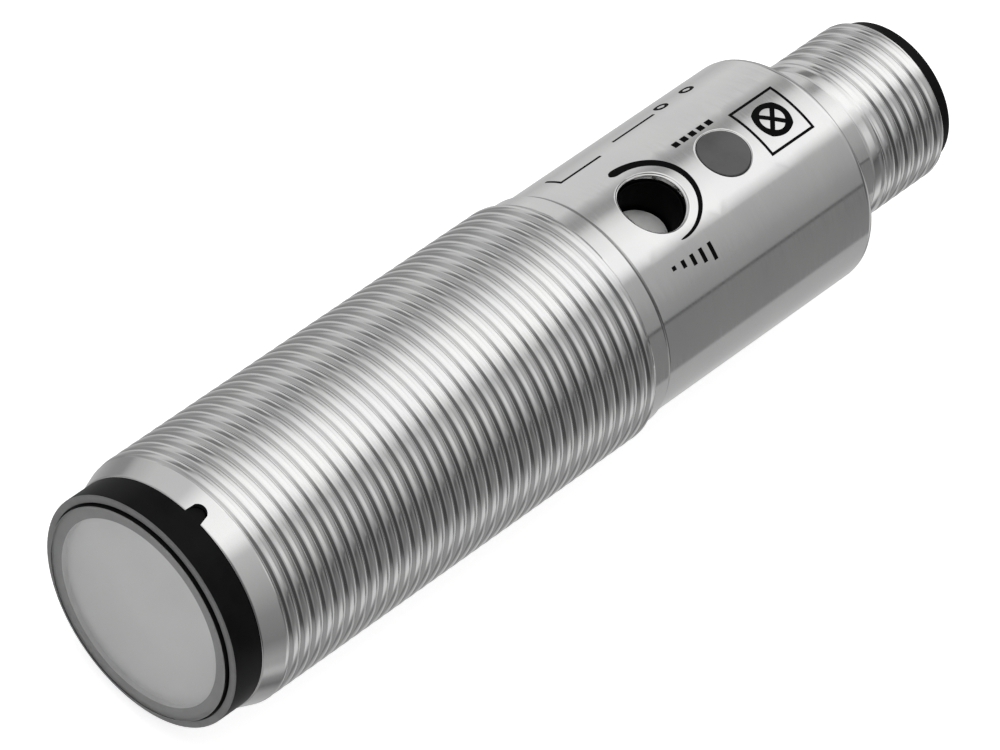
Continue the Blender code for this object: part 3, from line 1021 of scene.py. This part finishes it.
@dataclass
class Indicator:
    """Light guide whose face follows the rear body."""

    y: float = 51.75
    radius: float = 1.845
    crown: float = 8.38
    face_steps: tuple[float, ...] = (0, 0.3, 0.6, 0.85)
    flange: float = 2.4
    flange_low: float = 5.5
    flange_high: float = 6.5
    stem: float = 1.3
    stem_end: float = 3.8
    edge: float = 0.07
    columns: int = 96

    def build(self) -> None:
        """Makes the light guide: face, flange and stem turned, and the face bent over the body."""
        section = rounded([(self.radius * share, self.crown, 0) for share in self.face_steps] + [
            (self.radius, self.crown, self.edge), (self.radius, self.flange_high, 0),
            (self.flange, self.flange_high, SOFT), (self.flange, self.flange_low, SOFT),
            (self.stem, self.flange_low, 0), (self.stem, self.stem_end, SOFT), (0, self.stem_end, 0)], False)
        guide = turned(section, self.columns, Axis.UP, self.y, False)
        make_piece("indicator_lens", bent_over(guide, self.flange_high, self.crown), SMOKED,
                   ["indicator_window"])


@dataclass
class Plug:
    """M12 plug: threaded sleeve, keyed pin carrier and four round-nosed pins.

    Points of the carrier's section whose radius lies in bore_wall belong to its bore, rounding included.
    """

    radius: float = 5.98
    front: float = 57.0
    flange: float = 7.0
    flange_back: float = 58.7
    neck: float = 5.9
    neck_end: float = 63.3
    neck_edge: float = 0.06
    neck_step: float = 63.46
    thread_start: float = 64.2
    thread_ease: float = 0.9
    thread_phase: float = 0.94
    end: float = 70.85
    chamfer: float = 0.45
    bore: float = 4.95
    carrier_bore: float = 4.2
    bore_wall: Pair = (4.0, 4.26)
    carrier_radius: float = 4.9
    carrier_front: float = 58.0
    carrier_floor: float = 62.0
    collar: float = 5.46
    collar_front: float = 70.87
    collar_end: float = 71.75
    collar_edge: float = 0.2
    mouth_edge: float = 0.12
    rib_half: float = 0.6
    rib_side: float = 0.04
    rib_inner: float = 3.6
    rib_end: float = 70.75
    rib_slope: float = 0.05
    pins: int = 4
    pin: float = 0.5
    pin_nose: float = 0.45
    pin_circle: float = 2.5
    pin_turn: float = 45.0
    pin_front: float = 56.2
    pin_end: float = 70.6
    pin_columns: int = 32
    columns: int = 168
    crowding: float = 0.6

    def blank(self, y: np.ndarray) -> np.ndarray:
        """Radius of the sleeve before the thread is cut, down to its end chamfer."""
        ends = (self.thread_start, self.end - self.chamfer, self.end)
        return np.interp(y, ends, (self.radius, self.radius, self.radius - self.chamfer))

    def sleeve(self) -> Surface:
        """Sleeve with its bore, flange, plain neck and thread.

        Returns:
            The closed surface.
        """
        section = rounded([
            (self.radius - self.chamfer, self.end, 0), (self.bore, self.end, 0), (self.bore, self.front, 0),
            (self.flange, self.front, SOFT), (self.flange, self.flange_back, SOFT),
            (self.neck, self.flange_back, 0), (self.neck, self.neck_end, self.neck_edge),
            (self.radius, self.neck_step, 0), (self.radius, self.thread_start, 0)], False)
        thread = Thread(self.radius, self.thread_start, self.end, self.thread_start + self.thread_ease,
                        self.end - self.thread_ease, self.thread_phase)
        angle = np.arange(self.columns) * 2 * math.pi / self.columns
        return joined(turned(section, angle, closed=False), thread.surface(angle, self.blank))

    def carrier(self) -> Surface:
        """Pin carrier turned from its section; its bore steps inwards at the coding rib.

        Returns:
            The closed surface.
        """
        section = rounded([
            (0, self.carrier_floor, 0), (self.carrier_bore, self.carrier_floor, SOFT),
            (self.carrier_bore, self.rib_end, 0), (self.carrier_bore, self.rib_end + self.rib_slope, 0),
            (self.carrier_bore, self.collar_end, self.mouth_edge),
            (self.collar, self.collar_end, self.collar_edge), (self.collar, self.collar_front, CRISP),
            (self.carrier_radius, self.collar_front, 0), (self.carrier_radius, self.carrier_front, SOFT),
            (0, self.carrier_front, 0)], False)
        angle = crowded(self.columns, self.crowding)
        side = np.abs(self.carrier_bore * np.sin(angle))
        rib = 1 - smooth_step(side, self.rib_half - self.rib_side, self.rib_half + self.rib_side)
        rib = rib * (np.cos(angle) > 0)
        radius, height = section[:, :1], section[:, 1:]
        bore = (radius > self.bore_wall[0]) & (radius < self.bore_wall[1])
        low = np.where(bore & (height < self.rib_end + SLACK), self.carrier_bore - self.rib_inner, 0.0)
        return grid(place_round(radius - low * rib[None], height, angle[None], Axis.ALONG), wrap_columns=True)

    def build(self) -> None:
        """Makes sleeve, carrier and pins."""
        make_piece("plug_sleeve", self.sleeve(), NICKEL, ["connector_shell"])
        make_piece("plug_carrier", self.carrier(), BLACK, ["connector_insert"])
        section = rounded([(0, self.pin_front, 0), (self.pin, self.pin_front, CRISP),
                           (self.pin, self.pin_end, self.pin_nose), (0, self.pin_end, 0)], False)
        for index in range(self.pins):
            turn = math.radians(self.pin_turn + 360 / self.pins * index)
            rod = turned(section, self.pin_columns, closed=False)
            rod.points[:, 0] += self.pin_circle * math.cos(turn)
            rod.points[:, 2] -= self.pin_circle * math.sin(turn)
            make_piece(f"plug_pin_{index + 1}", rod, GOLD, [f"contact_pin_{index + 1}"])


@dataclass
class PrintedSigns:
    """Thin black ink on the rear body: a tapered arc round the trimmer and a few plain signs.

    A place is the pair of an arc length round the body and a y.
    """

    radius: float = 8.4
    lift: float = 0.014
    root: float = 0.02
    across: int = 5
    stroke_points: int = 9
    arc_middle: Pair = (-0.13, 44.8)
    arc_radii: Pair = (3.33, 3.38)
    arc_turn: Pair = (188, -5)
    arc_widths: Pair = (0.72, 0.17)
    arc_points: int = 60
    arc_nose: int = 3
    arc_tip: float = 0.05
    lamp: Pair = (0, 56.5)
    frame_half: float = 2.0
    frame_side: int = 12
    lamp_radius: float = 1.15
    lamp_width: float = 0.42
    cross_half: float = 0.8
    cross_width: float = 0.34
    ring_points: int = 48
    marks: int = 5
    bar: Pair = (4.3, 42.8)
    bar_gap: float = 0.85
    bar_length: float = 0.3
    bar_growth: float = 0.24
    bar_width: float = 0.32
    dash: Pair = (-2.5, 49.5)
    dash_gap: float = 0.8
    dash_length: float = 0.5
    dash_width: float = 0.45
    line_width: float = 0.2
    wires: tuple[tuple[Pair, Pair], ...] = (
        ((-7.4, 42.3), (-5.95, 42.3)), ((-5.9, 42.2), (-5.9, 46.1)), ((-6.6, 48.0), (-6.6, 52.0)))
    terminals: tuple[Pair, ...] = ((-7.0, 53.1), (-7.0, 55.6))
    terminal_radius: float = 0.4
    terminal_width: float = 0.22

    def on_body(self, path: np.ndarray, width: np.ndarray, offset: np.ndarray,
                closed: bool = False) -> Surface:
        """Strip of ink wrapped round the body.

        The strip's section is a flat loop: over its top at radius + lift, back under it at radius - root.
        A point at arc length a stands at the angle a / radius. Both ends of an open strip draw in to a line.

        Args:
            path: places of the middle line.
            width: width of the strip at each point.
            offset: unit vector across the strip at each point.
            closed: whether the strip is a ring.

        Returns:
            The closed surface of the strip.
        """
        if not closed:
            path = np.concatenate([path[:1], path, path[-1:]])
            width = np.concatenate([[0], width, [0]])
            offset = np.concatenate([offset[:1], offset, offset[-1:]])
        share = np.linspace(-0.5, 0.5, self.across)
        loop = np.concatenate([share, share[::-1]])
        high = np.repeat([self.radius + self.lift, self.radius - self.root], self.across)
        flat = path[:, None] + (width[:, None] * loop[None])[..., None] * offset[:, None]
        points = place_round(high[None], flat[..., 1], flat[..., 0] / self.radius, Axis.ALONG)
        return grid(points, wrap_rows=closed, wrap_columns=True)

    def stroke(self, start: Pair, end: Pair, width: float) -> Surface:
        """Straight stroke, whose middle line has its points at start + share * (end - start).

        Args:
            start: place where it begins.
            end: place where it ends.
            width: its width.

        Returns:
            The closed surface.
        """
        way = np.array(end) - np.array(start)
        path = np.array(start) + np.linspace(0, 1, self.stroke_points)[:, None] * way
        across = np.array([-way[1], way[0]]) / np.linalg.norm(way)
        return self.on_body(path, np.full(len(path), width), np.tile(across, (len(path), 1)))

    def ring(self, middle: Pair, outline: np.ndarray, width: float) -> Surface:
        """Closed stroke along an outline, thickened towards and away from its middle.

        Args:
            middle: place of the middle.
            outline: points round it.
            width: the stroke's width.

        Returns:
            The closed surface.
        """
        reach = np.linalg.norm(outline, axis=1)
        step = width * reach / np.minimum(np.abs(outline).max(1), reach)
        return self.on_body(outline + np.array(middle), step, outline / reach[:, None], closed=True)

    def tapered_arc(self) -> Surface:
        """Half circle round the trimmer's hole that thins evenly towards +X.

        Both ends are rounded: there the width shrinks as sqrt(e * (2 - e)) with the way e from the end.

        Returns:
            The closed surface.
        """
        turn = np.linspace(*np.radians(self.arc_turn), self.arc_points)
        out = np.stack([np.cos(turn), np.sin(turn)], -1)
        share = np.linspace(0, 1, self.arc_points)
        ends = np.minimum(share, 1 - share) * self.arc_points / self.arc_nose
        nose = np.where(ends < 1, np.sqrt(np.clip(ends * (2 - ends), self.arc_tip, 1)), 1)
        width = (self.arc_widths[0] * (1 - share) + self.arc_widths[1] * share) * nose
        return self.on_body(np.array(self.arc_middle) + out * np.array(self.arc_radii), width, out)

    def strokes(self, lines: Sequence[tuple[Pair, Pair]], width: float) -> Surface:
        """Several strokes of one width, each from a start to an end."""
        return joined(*(self.stroke(start, end, width) for start, end in lines))

    def build(self) -> None:
        """Prints the signs."""
        side = np.linspace(-1, 1, self.frame_side + 1)[:-1]
        one = np.ones(self.frame_side)
        sides = ((side, -one), (one, side), (-side, one), (-one, -side))
        square = np.concatenate([np.stack(pair, -1) for pair in sides])
        turn = np.arange(self.ring_points) * 2 * math.pi / self.ring_points
        circle = np.stack([np.cos(turn), np.sin(turn)], -1)
        cross, (lamp_x, lamp_y) = self.cross_half, self.lamp
        corners = [(lamp_x + cross, lamp_y + cross * way) for way in (1, -1)]
        crossing = [((2 * lamp_x - x, 2 * lamp_y - y), (x, y)) for x, y in corners]
        (bar_x, bar_y), (dash_x, dash_y) = self.bar, self.dash
        bars, dashes = [], []
        for index in range(self.marks):
            y, length = bar_y + self.bar_gap * index, self.bar_length + self.bar_growth * index
            bars.append(((bar_x, y), (bar_x + length, y)))
            y = dash_y + self.dash_gap * index
            dashes.append(((dash_x, y), (dash_x, y + self.dash_length)))
        signs = {
            "sign_arc": self.tapered_arc(),
            "sign_frame": self.ring(self.lamp, square * self.frame_half, self.line_width),
            "sign_lamp": self.ring(self.lamp, circle * self.lamp_radius, self.lamp_width),
            "sign_lamp_cross": self.strokes(crossing, self.cross_width),
            "sign_level": self.strokes(bars, self.bar_width),
            "sign_dashes": self.strokes(dashes, self.dash_width),
            "sign_wiring": self.strokes(self.wires, self.line_width)}
        for index, place in enumerate(self.terminals):
            outline = circle * self.terminal_radius
            signs[f"sign_terminal_{index + 1}"] = self.ring(place, outline, self.terminal_width)
        for name, surface in signs.items():
            make_piece(name, surface, INK)


@dataclass
class Inside:
    """Pieces inside the tube, which keep the shapes of the frame and get their own finishes."""

    finishes: dict[str, Finish] = field(default_factory=lambda: {
        "filter_disc": FILTER, "optic_carrier": BLACK, "emitter_lens": CLEAR, "receiver_lens": CLEAR,
        "emitter_led": CLEAR, "receiver_diode": EPOXY, "optic_board": BOARD, "main_board": BOARD,
        "rear_board": BOARD, "control_chip": EPOXY, "output_transistor": EPOXY, "indicator_led": CLEAR,
        "trimmer_body": BLUE})

    def build(self) -> None:
        """Dresses each node of the frame."""
        for name, finish in self.finishes.items():
            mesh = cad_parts[name].data
            mesh.materials.clear()
            mesh.materials.append(finish.material)
            LOG.info("%s: %s", name, finish.name)


@dataclass
class Studio:
    """Camera, pale floor and soft light in bands along the sensor, as a light tent gives.

    Each table of bands gives brightness at degrees round the sensor from +Z towards +X, and the two for
    the front at x. Zones hold, for each table after the first, the y of a direction at which the light
    begins to go over to it and at which it has.
    """

    target: tuple[float, float, float] = (0.0, 32.1, 0.0)
    distance: float = 449.7
    axis_angle: float = 56.07
    roll: float = -124.75
    pan: float = -0.086
    tilt: float = -0.041
    turn: float = 20.7
    lens: float = 250.79
    sensor: float = 36.0
    clip_start: float = 10.0
    paper_colour: str = "#dcdcdc"
    paper_roughness: float = 0.9
    floor_z: float = -8.95
    floor_size: float = 4000.0
    floor_glow: float = 0.75
    dome_radius: float = 1960.0
    dome_rows: int = 17
    dome_columns: int = 64
    tent: tuple[Pair, ...] = (
        (-180, 0.6), (-125, 0.62), (-100, 0.86), (-62, 0.88), (-54, 0.6), (-46, 0.42), (-39, 0.45),
        (-30, 0.9), (-20, 1.15), (0, 1.36), (14, 1.38), (20, 1.1), (27, 0.58), (45, 0.5), (62, 0.4),
        (76, 0.37), (76.5, 0.14), (79.5, 0.14), (80, 0.28), (130, 0.28), (132, 0.5), (165, 0.55),
        (180, 0.6))
    behind: tuple[Pair, ...] = (
        (-180, 0.42), (-114, 0.42), (-95, 0.62), (-86, 0.6), (-77, 0.25), (-67, 0.25), (-57, 0.6),
        (-46, 0.85), (-27, 1.25), (-4, 1.45), (8, 1.4), (21, 0.96), (32, 0.6), (56, 0.55), (68, 0.3),
        (80, 0.2), (91, 0.08), (102, 0.2), (113, 0.32), (124, 0.5), (145, 0.9), (155, 0.35), (165, 0.22),
        (180, 0.42))
    crests: tuple[Pair, ...] = (
        (-180, 0.5), (-140, 0.5), (-112, 0.36), (-99, 0.36), (-86, 0.75), (-75, 0.75), (-66, 0.27),
        (-55, 0.25), (-46, 0.7), (-39, 0.9), (-19, 1.36), (-8, 1.48), (8, 1.46), (20, 1.02), (29, 0.72),
        (45, 0.96), (52, 0.92), (61, 0.72), (71, 0.36), (80, 0.13), (90, 0.2), (101, 0.24), (111, 0.42),
        (121, 0.85), (131, 0.9), (141, 0.34), (151, 0.2), (161, 0.4), (180, 0.5))
    above: tuple[Pair, ...] = (
        (-180, 0.6), (-130, 0.42), (-112, 0.33), (-88, 0.6), (-70, 0.76), (-38, 0.8), (-22, 1.3),
        (10, 1.4), (19, 1.2), (29, 0.72), (60, 0.5), (80, 0.33), (104, 0.27), (120, 0.45), (140, 0.45),
        (160, 0.33), (180, 0.6))
    over: tuple[Pair, ...] = (
        (-180, 0.5), (-110, 0.34), (-96, 0.36), (-79, 0.62), (-59, 0.5), (-39, 0.8), (-19, 1.3), (1, 1.3),
        (12, 1.1), (21, 0.7), (30, 0.3), (51, 0.3), (71, 0.2), (91, 0.2), (104, 0.1), (113, 0.1),
        (131, 0.44), (151, 0.35), (180, 0.5))
    ahead: tuple[Pair, ...] = (
        (-1.0, 0.35), (-0.86, 0.4), (-0.78, 0.55), (-0.65, 0.44), (-0.48, 0.6), (-0.28, 0.86),
        (-0.06, 0.9), (0.14, 0.46), (0.22, 0.2), (0.42, 0.18), (0.55, 0.13), (0.65, 0.07), (1.0, 0.08))
    below: tuple[Pair, ...] = (
        (-1.0, 1.0), (-0.45, 1.6), (-0.05, 1.6), (0.15, 0.45), (0.45, 0.5), (0.62, 0.65), (1.0, 0.5))
    zones: tuple[Pair, ...] = ((0.607, 0.645), (0.55, 0.522), (0.2, 0.1), (-0.16, -0.3))
    front_zone: Pair = (-0.48, -0.66)
    below_zone: Pair = (-0.37, -0.54)

    def camera(self) -> None:
        """Camera beside the front end, found by its angle from the sensor's axis and its turn about it."""
        slant = math.radians(self.axis_angle)
        forward = Vector((0, math.cos(slant), -math.sin(slant)))
        right = Vector((-1, 0, 0))
        up = right.cross(forward)
        aim = Matrix((right, up, -forward)).transposed()
        for degrees, axis in ((self.roll, "Z"), (self.pan, "Y"), (self.tilt, "X")):
            aim = aim @ Matrix.Rotation(math.radians(degrees), 3, axis)
        spot = Vector(self.target) - self.distance * forward
        about = Matrix.Rotation(math.radians(self.turn), 3, "Y")
        data = bpy.data.cameras.new("camera")
        data.lens = self.lens
        data.sensor_width = self.sensor
        data.clip_start = self.clip_start * MM
        camera = bpy.data.objects.new("camera", data)
        camera.matrix_world = Matrix.Translation(about @ spot * MM) @ (about @ aim).to_4x4()
        bpy.context.scene.collection.objects.link(camera)
        bpy.context.scene.camera = camera

    def paper(self, name: str, surface: Surface, glow: float) -> bpy.types.Object:
        """White paper of the studio, which isn't part of the sensor.

        Args:
            name: the paper's name.
            surface: its shape.
            glow: light of its own, which takes it to a plain white.

        Returns:
            The new object, which shows in no reflection.
        """
        mesh = bpy.data.meshes.new(name)
        mesh.from_pydata(surface.points * MM, [], surface.faces)
        mat = bpy.data.materials.new("white_paper_" + name)
        mat.use_nodes = True
        shader = mat.node_tree.nodes["Principled BSDF"]
        shader.inputs["Base Color"].default_value = linear(self.paper_colour)
        shader.inputs["Roughness"].default_value = self.paper_roughness
        shader.inputs["Emission Color"].default_value = grey(1.0)
        shader.inputs["Emission Strength"].default_value = glow
        mesh.materials.append(mat)
        paper = bpy.data.objects.new(name, mesh)
        paper.visible_glossy = False
        bpy.context.scene.collection.objects.link(paper)
        return paper

    def floor(self) -> None:
        """Pale floor that glows to paper white and keeps a faint shadow."""
        side = np.array([-self.floor_size / 2, self.floor_size / 2])
        x, y = np.meshgrid(side, side)
        self.paper("floor", grid(np.stack([x, y, np.full_like(x, self.floor_z)], -1)), self.floor_glow)

    def backdrop(self) -> None:
        """White dome, a quarter circle turned over the floor, that only the camera sees."""
        lift = np.linspace(0, math.pi / 2, self.dome_rows)
        arc = np.stack([np.cos(lift), np.sin(lift)], -1) * self.dome_radius + np.array([0, self.floor_z])
        dome = self.paper("backdrop", turned(arc, self.dome_columns, Axis.UP, closed=False), 1.0)
        dome.visible_diffuse = False
        dome.visible_transmission = False
        dome.visible_shadow = False

    def bands(self, tree: Tree, place: Socket, reach: float, stops: Sequence[Pair]) -> Socket:
        """Bands of light along a coordinate.

        Args:
            tree: node tree of the world.
            place: the coordinate.
            reach: its highest value, where the last stop lies; the first lies at -reach.
            stops: place and brightness of each stop, in a unit of their own.

        Returns:
            The bands' colour.
        """
        share = add_node(tree, "MapRange", {"Value": place, "From Min": -reach, "From Max": reach})
        colours = [((at / stops[-1][0] + 1) / 2, grey(value)) for at, value in stops]
        return add_node(tree, "ValToRGB", {"Fac": share.outputs["Result"]}, colours).outputs["Color"]

    def blend(self, tree: Tree, place: Socket, span: Pair, first: Socket, second: Socket) -> Socket:
        """Light that goes softly from one colour to another.

        Args:
            tree: node tree of the world.
            place: coordinate that decides.
            span: where the first colour ends and where the second begins.
            first: colour before the span.
            second: colour after it.

        Returns:
            The blended colour.
        """
        share = add_node(tree, "MapRange", {"Value": place, "From Min": span[0], "From Max": span[1]},
                         interpolation_type="SMOOTHSTEP")
        mix = add_node(tree, "Mix", {"Factor": share.outputs["Result"], "A": first, "B": second},
                       data_type="RGBA")
        return mix.outputs["Result"]

    def light(self) -> None:
        """Soft light from all round, in bands parallel to the sensor, with a front of its own."""
        world = bpy.data.worlds.new("light_tent")
        world.use_nodes = True
        bpy.context.scene.world = world
        tree = world.node_tree
        way = add_node(tree, "TexCoord").outputs["Generated"]
        x, y, z = add_node(tree, "SeparateXYZ", {"Vector": way}).outputs
        about = add_node(tree, "Math", {0: x, 1: z}, operation="ARCTAN2").outputs["Value"]
        mixed = self.bands(tree, about, math.pi, self.tent)
        for zone, stops in zip(self.zones, (self.behind, self.crests, self.above, self.over)):
            mixed = self.blend(tree, y, zone, mixed, self.bands(tree, about, math.pi, stops))
        front = self.blend(tree, z, self.below_zone, self.bands(tree, x, 1.0, self.ahead),
                           self.bands(tree, x, 1.0, self.below))
        mixed = self.blend(tree, y, self.front_zone, mixed, front)
        tree.links.new(mixed, tree.nodes["Background"].inputs["Color"])
        bpy.context.scene.view_settings.view_transform = "Standard"

    def build(self) -> None:
        """Sets up the studio."""
        self.camera()
        self.floor()
        self.backdrop()
        self.light()


def main() -> None:
    """Builds the sub-assemblies in order."""
    logging.basicConfig(level=logging.INFO, format="%(message)s")
    barrel = Barrel()
    parts = (Studio(), Inside(), barrel, FrontEnd(barrel), Trimmer(), Indicator(), Plug(), PrintedSigns())
    for part in parts:
        part.build()


if __name__ == "__main__":
    main()
